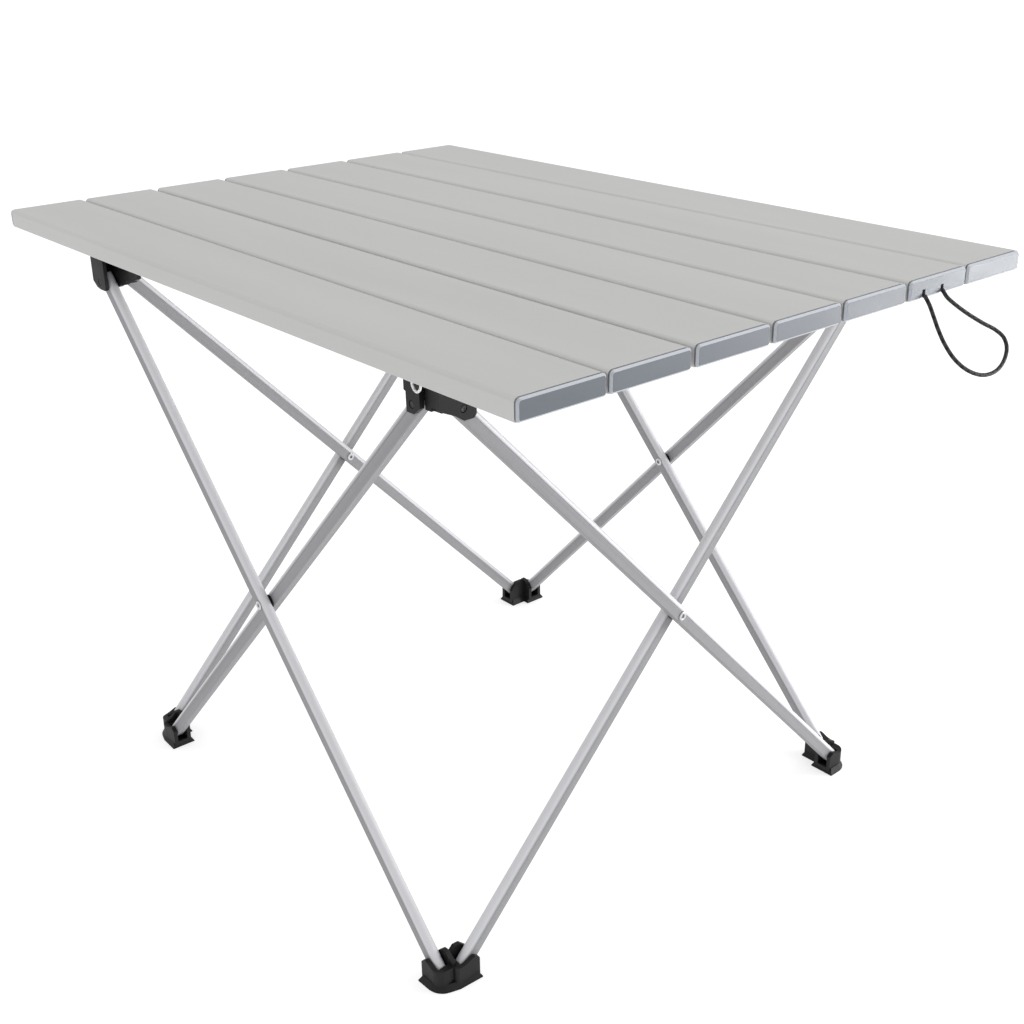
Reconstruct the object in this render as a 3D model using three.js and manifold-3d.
// A low folding side table: seven hollow aluminium slats on a frame of four crossed pairs of
// legs. Millimetres, +Z up. The origin is on the ground under the middle of the tabletop,
// +X along the slats and -Y towards the front long side.
import * as THREE from 'three';
import { mergeVertices } from 'three/addons/utils/BufferGeometryUtils.js';
import Module from 'manifold-3d';

const wasm = await Module();
wasm.setup();

// Tabletop
const tableLength = 565;
const tableWidth = 405;
const tableHeight = 406;
const slatThickness = 12;
const slatGaps = [2.0, 3.4, 3.2, 3.0, 3.4, 1.4];
const slatEdgeRadius = 2.6;
const slatLowerRadius = 0.8;
const slatWall = 1.0;
const slatRibs = 2;
const capFlange = 1.8;
const capRim = 1.2;
const capLowerRadius = 1.7;
const capPlugLength = 12;
const fit = 0.3;

// Leg frame: outer legs lie in planes legPlaneOuter from the frame centre, inner legs in
// planes legPlaneInner, and every pivot sits pivotHalfSpan to one side of the centre.
const frameShiftX = 10;
const legPlaneOuter = 188;
const legPlaneInner = 180;
const pivotHalfSpan = 171.5;
const bracketPivotZ = 373.5;
const footPivotZ = 13.1;
const tubeWidth = 6.8;
const tubeHeight = 10;
const tubeWall = 0.8;
const tubeEndReach = 6.5;
const tubeGroove = 0.25;
const slotHalfWidth = 4;
const pivotPinRadius = 2.0;
const rivetRadius = 2.1;
const rivetBore = 1.35;
const rivetHeadRadius = 3.1;
const rivetHeadHeight = 0.6;

// Black plastic corners
const cheekThickness = 3;
const bracketPlate = 3.5;
const soleThickness = 3;
const soleEdge = 1.2;
const soleSkirt = 3.8;
const soleFlare = 2.2;
const trunnionLength = 2.0;

// Cords
const drawcordDiameter = 2.4;
const elasticDiameter = 1.3;

const undersideZ = tableHeight - slatThickness;
const slatCount = slatGaps.length + 1;
const gapTotal = slatGaps.reduce((sum, gap) => sum + gap, 0);
const slatWidth = (tableWidth - gapTotal) / slatCount;
const crossingZ = (bracketPivotZ + footPivotZ) / 2;
const legRise = bracketPivotZ - footPivotZ;
const legRun = 2 * pivotHalfSpan;
const legAngle = Math.atan2(legRise, legRun);
const legSpan = Math.hypot(legRise, legRun);
const endX = tableLength / 2;
const slatHalfLength = endX - capFlange - fit;

// Finishes
const finish = (color, roughness, metalness) =>
  new THREE.MeshStandardMaterial({ color, roughness, metalness });
const slatFinish = finish(0xd3d3d0, 0.55, 0.6);
const capFinish = finish(0x8d949e, 0.5, 0);
const tubeFinish = finish(0xc9c9cc, 0.35, 0.9);
const rivetFinish = finish(0xb9b9bb, 0.4, 0.9);
const plasticFinish = finish(0x1c1c1e, 0.55, 0);
const pinFinish = finish(0x2b2b2d, 0.4, 0.7);
const cordFinish = finish(0x101012, 0.85, 0);
const elasticFinish = finish(0xe9e9e6, 0.8, 0);

// ---- from geometries to solids and back ----

function solid(geometry) {
  const bare = new THREE.BufferGeometry();
  bare.setAttribute('position', geometry.getAttribute('position'));
  if (geometry.index) bare.setIndex(geometry.index);
  const welded = mergeVertices(bare, 1e-4);
  const vertProperties = new Float32Array(welded.getAttribute('position').array);
  const triVerts = new Uint32Array(welded.index.array);
  return new wasm.Manifold(new wasm.Mesh({ numProp: 3, vertProperties, triVerts }));
}

function geometryOf(manifold) {
  const mesh = manifold.getMesh();
  const geometry = new THREE.BufferGeometry();
  geometry.setAttribute('position', new THREE.BufferAttribute(mesh.vertProperties, 3));
  geometry.setIndex(new THREE.BufferAttribute(mesh.triVerts, 1));
  geometry.computeVertexNormals();
  return geometry;
}

const joined = (first, ...others) => others.reduce((body, next) => body.add(next), first);
const cutBy = (body, ...tools) => tools.reduce((rest, tool) => rest.subtract(tool), body);

// An outline lies in the plane across its axis: (y, z) for x, (x, z) for y, (x, y) for z.
const AXIS_BASES = {
  x: [new THREE.Vector3(0, 1, 0), new THREE.Vector3(0, 0, 1), new THREE.Vector3(1, 0, 0)],
  y: [new THREE.Vector3(1, 0, 0), new THREE.Vector3(0, 0, 1), new THREE.Vector3(0, -1, 0)],
  z: [new THREE.Vector3(1, 0, 0), new THREE.Vector3(0, 1, 0), new THREE.Vector3(0, 0, 1)],
};

function prismGeometry(axis, shape, from, to, options = {}) {
  const geometry = new THREE.ExtrudeGeometry(shape, {
    depth: to - from, bevelEnabled: false, curveSegments: 4, ...options,
  });
  geometry.applyMatrix4(new THREE.Matrix4().makeBasis(...AXIS_BASES[axis]));
  const start = { x: [from, 0, 0], y: [0, to, 0], z: [0, 0, from] }[axis];
  geometry.translate(...start);
  return geometry;
}

const prism = (axis, shape, from, to, options) =>
  solid(prismGeometry(axis, shape, from, to, options));
const polygon = (points) => new THREE.Shape(points.map(([a, b]) => new THREE.Vector2(a, b)));

function block(x0, x1, y0, y1, z0, z1) {
  const geometry = new THREE.BoxGeometry(x1 - x0, y1 - y0, z1 - z0);
  geometry.translate((x0 + x1) / 2, (y0 + y1) / 2, (z0 + z1) / 2);
  return solid(geometry);
}

function rod(axis, radius, from, to, centre, sides = 12) {
  const circle = new THREE.Shape();
  circle.absarc(centre[0], centre[1], radius, 0, 2 * Math.PI, false);
  return prism(axis, circle, from, to, { curveSegments: sides / 2 });
}

function namedMesh(name, geometry, material) {
  const mesh = new THREE.Mesh(geometry, material);
  mesh.name = name;
  return mesh;
}

// A rectangle with its own radius and number of facets at the lower and at the upper corners.
function roundedBox(left, right, bottom, top, lower, upper) {
  const points = [];
  const corner = (x, y, { radius, facets }, start) => {
    for (let step = 0; step <= facets; step += 1) {
      const angle = start + (step / facets) * (Math.PI / 2);
      points.push([x + radius * Math.cos(angle), y + radius * Math.sin(angle)]);
    }
  };
  corner(left + lower.radius, bottom + lower.radius, lower, Math.PI);
  corner(right - lower.radius, bottom + lower.radius, lower, 1.5 * Math.PI);
  corner(right - upper.radius, top - upper.radius, upper, 0);
  corner(left + upper.radius, top - upper.radius, upper, Math.PI / 2);
  return polygon(points);
}

const table = new THREE.Group();

// ---- tabletop: slats, end caps, elastic loop and drawcord ----

const slatFronts = [];
slatGaps.concat(0).reduce((front, gap) => {
  slatFronts.push(front);
  return front + slatWidth + gap;
}, -tableWidth / 2);

const slatOutline = (front, lowerRadius) => roundedBox(front, front + slatWidth, undersideZ,
  tableHeight, { radius: lowerRadius, facets: 2 }, { radius: slatEdgeRadius, facets: 3 });

// The hollow inside a slat is split by ribs into equal chambers.
function chamberOutlines(front, inset) {
  const pitch = (slatWidth - slatWall) / (slatRibs + 1);
  const chambers = [];
  for (let rib = 0; rib <= slatRibs; rib += 1) {
    const left = front + slatWall + rib * pitch + inset;
    const right = front + (rib + 1) * pitch - inset;
    const bottom = undersideZ + slatWall + inset;
    const top = tableHeight - slatWall - inset;
    chambers.push(roundedBox(left, right, bottom, top, { radius: 0.5, facets: 1 },
      { radius: slatEdgeRadius - slatWall, facets: 1 }));
  }
  return chambers;
}

const elasticLoopX = frameShiftX + 188;
const elasticLoopY = -195.5;
const elasticLoopHalf = 3.8;
const elasticLoopDrop = 7.7;
const elasticHoleRadius = elasticDiameter / 2 + fit;

function slatSolid(index) {
  const outline = slatOutline(slatFronts[index], slatLowerRadius);
  outline.holes.push(...chamberOutlines(slatFronts[index], 0));
  const body = prism('x', outline, -slatHalfLength, slatHalfLength);
  if (index > 0) return body;
  const holes = [-elasticLoopHalf, elasticLoopHalf].map((side) => rod('z', elasticHoleRadius,
    undersideZ - 1, undersideZ + slatWall + 1, [elasticLoopX + side, elasticLoopY], 12));
  return cutBy(body, ...holes);
}

const drawcordSlat = 5;
const drawcordExitY = [103.5, 121.5];
const drawcordZ = undersideZ + slatWall + fit + drawcordDiameter / 2;

// A cap is a flange with a chamfered rim, and a plug into each chamber of the slat.
function capSolid(index, side) {
  const front = slatFronts[index];
  const rimmed = prismGeometry('x', slatOutline(front, capLowerRadius),
    endX - 2 * capFlange, endX - capRim, {
    bevelEnabled: true, bevelThickness: capRim, bevelSize: capRim, bevelOffset: -capRim,
    bevelSegments: 1,
  });
  const keep = block(endX - capFlange, endX + 1, front - 1, front + slatWidth + 1,
    undersideZ - 1, tableHeight + 1);
  const plugs = chamberOutlines(front, fit).map((outline) =>
    prism('x', outline, endX - capFlange - capPlugLength, endX - capFlange));
  let cap = joined(solid(rimmed).intersect(keep), ...plugs);
  if (index === drawcordSlat && side > 0) {
    const notchHalf = drawcordDiameter / 2 + fit;
    const notches = drawcordExitY.map((y) => block(endX - 20, endX + 1, y - notchHalf,
      y + notchHalf, undersideZ - 1, drawcordZ + 2 * notchHalf));
    cap = cutBy(cap, ...notches);
  }
  return cap;
}

for (let index = 0; index < slatCount; index += 1) {
  const number = index + 1;
  table.add(namedMesh(`slat_${number}`, geometryOf(slatSolid(index)), slatFinish));
  table.add(namedMesh(`end_cap_${number}_right`, geometryOf(capSolid(index, 1)), capFinish));
  const leftCap = namedMesh(`end_cap_${number}_left`, geometryOf(capSolid(index, -1)),
    capFinish);
  leftCap.geometry.rotateZ(Math.PI);
  leftCap.geometry.translate(0, 2 * slatFronts[index] + slatWidth, 0);
  table.add(leftCap);
}

// A cord is a round section drawn along a smooth curve through its route.
function cordGeometry(route, diameter, steps) {
  const curve = new THREE.CatmullRomCurve3(route.map((point) => new THREE.Vector3(...point)));
  const section = new THREE.Shape();
  section.absarc(0, 0, diameter / 2, 0, 2 * Math.PI, false);
  return new THREE.ExtrudeGeometry(section, {
    steps, extrudePath: curve, curveSegments: 4, bevelEnabled: false,
  });
}

// The loop of the elastic cord that joins the slats shows below the front slat.
const elasticTopZ = undersideZ + slatWall;
const elasticRoute = [
  [elasticLoopX - elasticLoopHalf, elasticLoopY, elasticTopZ + 2],
  [elasticLoopX - elasticLoopHalf, elasticLoopY, undersideZ - 0.4 * elasticLoopDrop],
  [elasticLoopX - elasticLoopHalf * 0.7, elasticLoopY, undersideZ - 0.8 * elasticLoopDrop],
  [elasticLoopX, elasticLoopY, undersideZ - elasticLoopDrop],
  [elasticLoopX + elasticLoopHalf * 0.7, elasticLoopY, undersideZ - 0.8 * elasticLoopDrop],
  [elasticLoopX + elasticLoopHalf, elasticLoopY, undersideZ - 0.4 * elasticLoopDrop],
  [elasticLoopX + elasticLoopHalf, elasticLoopY, elasticTopZ + 2],
];
table.add(namedMesh('elastic_end_loop', geometryOf(solid(
  cordGeometry(elasticRoute, elasticDiameter, 18))), elasticFinish));

// The drawcord leaves slat 6 at its right end, hangs in one open loop and goes back in.
const drawcordRoute = [
  [270.0, drawcordExitY[0], drawcordZ],
  [276.0, drawcordExitY[0], drawcordZ],
  [282.0, drawcordExitY[0], drawcordZ],
  [286.3, 103.5, 392.2],
  [290.0, 103.9, 385.5],
  [294.0, 104.6, 377.5],
  [298.5, 106.0, 369.5],
  [303.5, 110.0, 361.0],
  [308.0, 117.5, 354.0],
  [311.0, 129.0, 349.4],
  [311.5, 142.0, 349.2],
  [309.0, 154.0, 352.8],
  [305.5, 161.0, 358.5],
  [302.5, 161.5, 363.5],
  [299.5, 156.5, 368.5],
  [296.0, 147.0, 374.0],
  [292.0, 136.0, 381.0],
  [288.5, 126.5, 388.0],
  [286.0, 121.7, 392.6],
  [282.0, drawcordExitY[1], drawcordZ],
  [276.0, drawcordExitY[1], drawcordZ],
  [270.0, drawcordExitY[1], drawcordZ],
];
table.add(namedMesh('drawcord', geometryOf(solid(
  cordGeometry(drawcordRoute, drawcordDiameter, 60))), cordFinish));

// ---- legs ----

// Flat along the bottom and the sides, half round along the top, with a fine line where the
// round begins. The pivots are in the middle of the flat sides.
function tubeOutline(inset) {
  const half = tubeWidth / 2 - inset;
  const bottom = -tubeHeight / 2 + 0.6 + inset;
  const roundStart = bottom - inset + tubeHeight - tubeWidth / 2;
  const corner = 0.6;
  const shape = new THREE.Shape();
  shape.moveTo(-half, bottom + corner);
  shape.lineTo(-half + corner, bottom);
  shape.lineTo(half - corner, bottom);
  shape.lineTo(half, bottom + corner);
  if (inset === 0) {
    shape.lineTo(half, roundStart - 2 * tubeGroove);
    shape.lineTo(half - tubeGroove, roundStart - tubeGroove);
  }
  shape.absarc(0, roundStart, half, 0, Math.PI);
  if (inset === 0) {
    shape.lineTo(-half + tubeGroove, roundStart - tubeGroove);
    shape.lineTo(-half, roundStart - 2 * tubeGroove);
  }
  return shape;
}

function tubeSolid() {
  const reach = legSpan / 2 + tubeEndReach;
  const outline = tubeOutline(0);
  outline.holes.push(tubeOutline(tubeWall));
  const stock = prism('x', outline, -reach - 1, reach + 1);
  const ends = new THREE.Shape();
  ends.absarc(legSpan / 2, 0, tubeEndReach, -Math.PI / 2, Math.PI / 2);
  ends.absarc(-legSpan / 2, 0, tubeEndReach, Math.PI / 2, 1.5 * Math.PI);
  const rounded = stock.intersect(prism('y', ends, -tubeWidth, tubeWidth, { curveSegments: 3 }));
  const holes = [-legSpan / 2, legSpan / 2].map((x) =>
    rod('y', pivotPinRadius + fit, -tubeWidth, tubeWidth, [x, 0], 8));
  holes.push(rod('y', rivetRadius + fit, -tubeWidth, tubeWidth, [0, 0]));
  return cutBy(rounded, ...holes);
}

// A tubular rivet with a flared rim at both ends, along -Y through both legs of a pair.
function rivetGeometry() {
  const outerFace = legPlaneOuter + tubeWidth / 2 + fit;
  const innerFace = legPlaneInner - tubeWidth / 2 - fit;
  const profile = [
    [rivetBore, innerFace - rivetHeadHeight],
    [rivetHeadRadius - 0.5, innerFace - rivetHeadHeight],
    [rivetHeadRadius, innerFace - 0.2],
    [rivetHeadRadius, innerFace],
    [rivetRadius, innerFace],
    [rivetRadius, outerFace],
    [rivetHeadRadius, outerFace],
    [rivetHeadRadius, outerFace + 0.2],
    [rivetHeadRadius - 0.5, outerFace + rivetHeadHeight],
    [rivetBore + 0.3, outerFace + rivetHeadHeight],
    [rivetBore, outerFace + 0.1],
    [rivetBore, innerFace - rivetHeadHeight],
  ].map(([radius, height]) => new THREE.Vector2(radius, height));
  const geometry = new THREE.LatheGeometry(profile, 14);
  geometry.rotateX(Math.PI);
  return geometryOf(solid(geometry));
}

function spacerGeometry() {
  const innerFace = legPlaneInner + tubeWidth / 2 + fit;
  const outerFace = legPlaneOuter - tubeWidth / 2 - fit;
  const washer = rod('y', 4.9, -outerFace, -innerFace, [0, 0], 16);
  return geometryOf(cutBy(washer, rod('y', rivetRadius + fit, -outerFace - 1,
    -innerFace + 1, [0, 0])));
}

// ---- bracket at the front right corner ----
// The front inner leg ends in a slot along X, the right outer leg in a slot along Y.

const hub = pivotHalfSpan;
const slotEnd = hub + tubeEndReach + 1;
const plateTop = undersideZ - fit;
const plateBottom = plateTop - bracketPlate;
const innerFront = -(legPlaneInner + slotHalfWidth + cheekThickness);
const outerRight = legPlaneOuter + slotHalfWidth + 2.5;

// The outer cheek of the slot along Y either reaches the corner or stops short of it. The
// brackets come in these two kinds, one at each end of a long side.
function bracketSolid(reachesCorner) {
  const pivotZ = bracketPivotZ;
  const wallFront = reachesCorner ? innerFront + cheekThickness : -slotEnd - 2.5;
  const cheekX = polygon([
    [hub - 6.4, plateTop], [hub - 6.4, pivotZ + 6.6], [hub - 4.8, pivotZ + 6.0],
    [hub - 4.6, pivotZ - 4.9], [hub + 1.7, pivotZ - 4.9], [hub + 6.9, pivotZ - 0.8],
    [hub + 6.9, plateTop],
  ]);
  const backX = polygon([
    [hub - 6.4, plateTop], [hub - 6.4, pivotZ + 6.6], [hub - 4.6, pivotZ - 4.9],
    [hub + 1.7, pivotZ - 4.9], [slotEnd, pivotZ - 1.5], [legPlaneOuter - 4, pivotZ - 1.5],
    [legPlaneOuter - 4, plateTop],
  ]);
  const cheekEnd = -hub + 8.4;
  const cornerEdge = reachesCorner
    ? [[innerFront, plateTop], [innerFront, pivotZ + 1.8], [-hub - 5.2, pivotZ - 2.8]]
    : [[wallFront, plateTop], [wallFront, pivotZ - 0.2], [-hub - 4.6, pivotZ - 4.0]];
  const cheekBottom = pivotZ - (reachesCorner ? 6.5 : 4.8);
  const cheekY = polygon([
    ...cornerEdge, [-hub + 0.2, cheekBottom], [-hub + 6.6, cheekBottom],
    [cheekEnd, cheekBottom + 2.1], [cheekEnd, plateTop],
  ]);
  const wedgeEnd = -hub + 35.8;
  const wedgeY = polygon([
    [innerFront + 4, plateTop], [innerFront + 4, pivotZ - 1.0], [-hub - 6.0, pivotZ - 4.0],
    [-hub + 6.0, pivotZ - 4.0], [-hub + 9.2, pivotZ - 2.4], [-hub + 17.1, pivotZ - 0.4],
    [-hub + 18.5, pivotZ + 2.4], [-hub + 30.2, pivotZ + 4.4], [wedgeEnd, pivotZ + 6.8],
    [wedgeEnd, plateTop],
  ]);
  const innerBack = -(legPlaneInner - slotHalfWidth);
  const plate = polygon([
    [hub - 6.4, innerFront], [outerRight, innerFront], [outerRight, cheekEnd],
    [legPlaneOuter - 2, wedgeEnd], [legPlaneOuter - 7, wedgeEnd],
    [legPlaneOuter - 7, innerBack + cheekThickness], [hub - 6.4, innerBack + cheekThickness],
  ]);
  const cheeks = [
    prism('y', cheekX, innerFront, innerFront + cheekThickness),
    prism('y', backX, innerBack, innerBack + cheekThickness),
    prism('x', cheekY, legPlaneOuter + slotHalfWidth, outerRight),
    prism('x', wedgeY, legPlaneOuter - slotHalfWidth - cheekThickness,
      legPlaneOuter - slotHalfWidth),
  ];
  const walls = [
    block(hub + 4, outerRight, wallFront, -slotEnd, pivotZ + 0.9, plateTop),
    block(slotEnd, legPlaneOuter - 4, innerFront + 3, innerBack + 2, pivotZ - 1.5, plateTop),
  ];
  const body = joined(prism('z', plate, plateBottom, plateTop), ...cheeks, ...walls);
  const slotX = block(hub - 20, slotEnd, -(legPlaneInner + slotHalfWidth), innerBack,
    pivotZ - 20, plateBottom);
  const slotY = block(legPlaneOuter - slotHalfWidth, legPlaneOuter + slotHalfWidth,
    -slotEnd, -hub + 50, pivotZ - 20, plateBottom);
  const bores = [
    rod('y', pivotPinRadius + fit, innerFront - 1, innerBack + 4, [hub, pivotZ], 8),
    rod('x', pivotPinRadius + fit, legPlaneOuter - 12, outerRight + 1,
      [-hub, pivotZ], 8),
  ];
  return cutBy(body, slotX, slotY, ...bores);
}

// A pin with a low domed head end and a flat inner end, along -Y or +X.
function pinGeometry(length) {
  const dome = 0.35;
  const profile = [
    [0, 0], [pivotPinRadius, 0], [pivotPinRadius, length - dome],
    [pivotPinRadius * 0.7, length], [pivotPinRadius * 0.45, length - dome], [0, length - dome],
  ].map(([radius, height]) => new THREE.Vector2(radius, height));
  return geometryOf(solid(new THREE.LatheGeometry(profile, 8)));
}

// ---- foot at the front right corner ----
// The front outer leg ends in a slot along X, the right inner leg in a slot along Y. Both
// lobes have the same section, so one function makes them, and the second is turned over the
// corner's diagonal.

const armEnd = hub - 5.5;
const lobeEnd = hub + 12.5;
const frontCornerRadius = 7;
const rightCornerRadius = 2.5;

function lobeParts(plane, cornerRadius) {
  const outerFace = -(plane + slotHalfWidth + cheekThickness);
  const innerWall = -(plane - slotHalfWidth);
  const innerFace = innerWall + cheekThickness;
  const scoop = new THREE.Shape();
  scoop.moveTo(armEnd, 1);
  scoop.lineTo(armEnd, 14.8);
  scoop.lineTo(armEnd + 3.4, 17.4);
  scoop.splineThru([
    [armEnd + 5.6, 17.0], [armEnd + 8.5, 15.7], [armEnd + 11.5, 14.8], [armEnd + 14.5, 14.7],
    [lobeEnd, 15.4],
  ].map(([a, b]) => new THREE.Vector2(a, b)));
  scoop.lineTo(lobeEnd, 1);
  const plan = new THREE.Shape();
  plan.moveTo(armEnd, outerFace);
  plan.lineTo(lobeEnd - cornerRadius, outerFace);
  plan.absarc(lobeEnd - cornerRadius, outerFace + cornerRadius, cornerRadius,
    -Math.PI / 2, 0, false);
  plan.lineTo(lobeEnd, innerFace);
  plan.lineTo(armEnd, innerFace);
  plan.closePath();
  const shell = prism('y', scoop, outerFace, innerFace, { curveSegments: 2 })
    .intersect(prism('z', plan, 0.9, 30));
  const peak = polygon([
    [armEnd + 1, 1], [armEnd + 1, 16.8], [armEnd + 6, 21.6], [armEnd + 10.5, 22.0],
    [armEnd + 13.5, 19.0], [lobeEnd - 1, 17.6], [lobeEnd - 1, 1],
  ]);
  const wallFace = plane + slotHalfWidth;
  const insideFace = plane - slotHalfWidth;
  const slot = block(armEnd - 1, slotEnd, -wallFace, -insideFace, soleThickness, 31);
  const rib = block(armEnd, armEnd + 2.6, -wallFace - 1, -insideFace + 1, 1, 5.0);
  const trunnion = (from, to) => rod('y', pivotPinRadius, from, to, [hub, footPivotZ], 8);
  return [
    cutBy(shell, slot), prism('y', peak, innerWall, innerFace), rib,
    trunnion(-wallFace - 1, -wallFace + trunnionLength),
    trunnion(-insideFace - trunnionLength, -insideFace + 1),
  ];
}

// Turns a front-lobe solid over the diagonal of the front right corner: (x, y) -> (-y, -x).
function overDiagonal(manifold) {
  const geometry = geometryOf(manifold);
  const position = geometry.getAttribute('position');
  for (let i = 0; i < position.count; i += 1) {
    position.setXY(i, -position.getY(i), -position.getX(i));
  }
  const order = geometry.index.array;
  for (let i = 0; i < order.length; i += 3) {
    [order[i], order[i + 1]] = [order[i + 1], order[i]];
  }
  return solid(geometry);
}

function footSolid() {
  const soleEnd = armEnd + 1.6;
  const front = -(legPlaneOuter + slotHalfWidth + cheekThickness);
  const right = legPlaneInner + slotHalfWidth + cheekThickness;
  const sole = new THREE.Shape();
  sole.moveTo(soleEnd, front - 0.4);
  sole.lineTo(hub + 4.5, front - 0.2);
  sole.splineThru([
    [hub + 8, front + 0.8], [hub + 10.8, front + 2.9], [hub + 12.6, front + 6],
    [right - 0.8, front + 13],
  ].map(([a, b]) => new THREE.Vector2(a, b)));
  sole.lineTo(right - 0.2, -soleEnd);
  sole.lineTo(legPlaneInner - 7, -soleEnd);
  sole.lineTo(legPlaneInner - 7, -(legPlaneOuter - 7));
  sole.lineTo(soleEnd, -(legPlaneOuter - 7));
  sole.closePath();
  const skirt = (from, to, height) => prism('z', sole, from, to, {
    bevelEnabled: true, bevelThickness: height, bevelSize: soleFlare, bevelOffset: 0,
    bevelSegments: 1, curveSegments: 2,
  });
  const upper = block(hub - 60, hub + 60, -hub - 60, -hub + 60, soleEdge, 30);
  const base = joined(skirt(0, soleEdge, soleSkirt).intersect(upper),
    skirt(0.4, soleEdge - 0.3, 0.4), prism('z', sole, 0, soleEdge, { curveSegments: 2 }));
  const frontLobe = joined(...lobeParts(legPlaneOuter, frontCornerRadius));
  const rightLobe = overDiagonal(joined(...lobeParts(legPlaneInner, rightCornerRadius)));
  const slots = [
    block(hub - 40, slotEnd, -(legPlaneOuter + 4), -(legPlaneOuter - 4), soleThickness, 30),
    block(legPlaneInner - 4, legPlaneInner + 4, -slotEnd, -hub + 40, soleThickness, 30),
  ];
  return joined(cutBy(base, ...slots), frontLobe, rightLobe);
}

// ---- the four sides, each a quarter turn of the front ----

const tube = geometryOf(tubeSolid());
const rivet = rivetGeometry();
const spacer = spacerGeometry();
const brackets = [true, false].map((reaches) => geometryOf(bracketSolid(reaches)));
const foot = geometryOf(footSolid());
const pinReach = slotHalfWidth + cheekThickness;
const pinX = pinGeometry(2 * pinReach);
const pinY = pinGeometry(pinReach + slotHalfWidth + 2.5);

const sides = ['front', 'right', 'back', 'left'];
const corners = ['front_right', 'back_right', 'back_left', 'front_left'];

sides.forEach((side, turn) => {
  const quarter = new THREE.Group();
  quarter.position.set(frameShiftX, 0, 0);
  quarter.rotation.z = turn * Math.PI / 2;
  const corner = corners[turn];

  const outerLeg = namedMesh(`leg_${side}_outer`, tube, tubeFinish);
  outerLeg.position.set(0, -legPlaneOuter, crossingZ);
  outerLeg.rotation.y = legAngle;
  const innerLeg = namedMesh(`leg_${side}_inner`, tube, tubeFinish);
  innerLeg.position.set(0, -legPlaneInner, crossingZ);
  innerLeg.rotation.y = -legAngle;

  const crossRivet = namedMesh(`cross_rivet_${side}`, rivet, rivetFinish);
  crossRivet.position.z = crossingZ;
  const crossSpacer = namedMesh(`cross_spacer_${side}`, spacer, plasticFinish);
  crossSpacer.position.z = crossingZ;

  const innerPin = namedMesh(`bracket_pin_${corner}_inner`, pinX, pinFinish);
  innerPin.position.set(hub, -(legPlaneInner - pinReach), bracketPivotZ);
  innerPin.rotation.x = Math.PI;
  const outerPin = namedMesh(`bracket_pin_${corner}_outer`, pinY, pinFinish);
  outerPin.position.set(legPlaneOuter - pinReach, -hub, bracketPivotZ);
  outerPin.rotation.z = -Math.PI / 2;

  quarter.add(outerLeg, innerLeg, crossRivet, crossSpacer, innerPin, outerPin);
  quarter.add(namedMesh(`bracket_${corner}`, brackets[turn % 2], plasticFinish));
  quarter.add(namedMesh(`foot_${corner}`, foot, plasticFinish));
  table.add(quarter);
});

export default table;
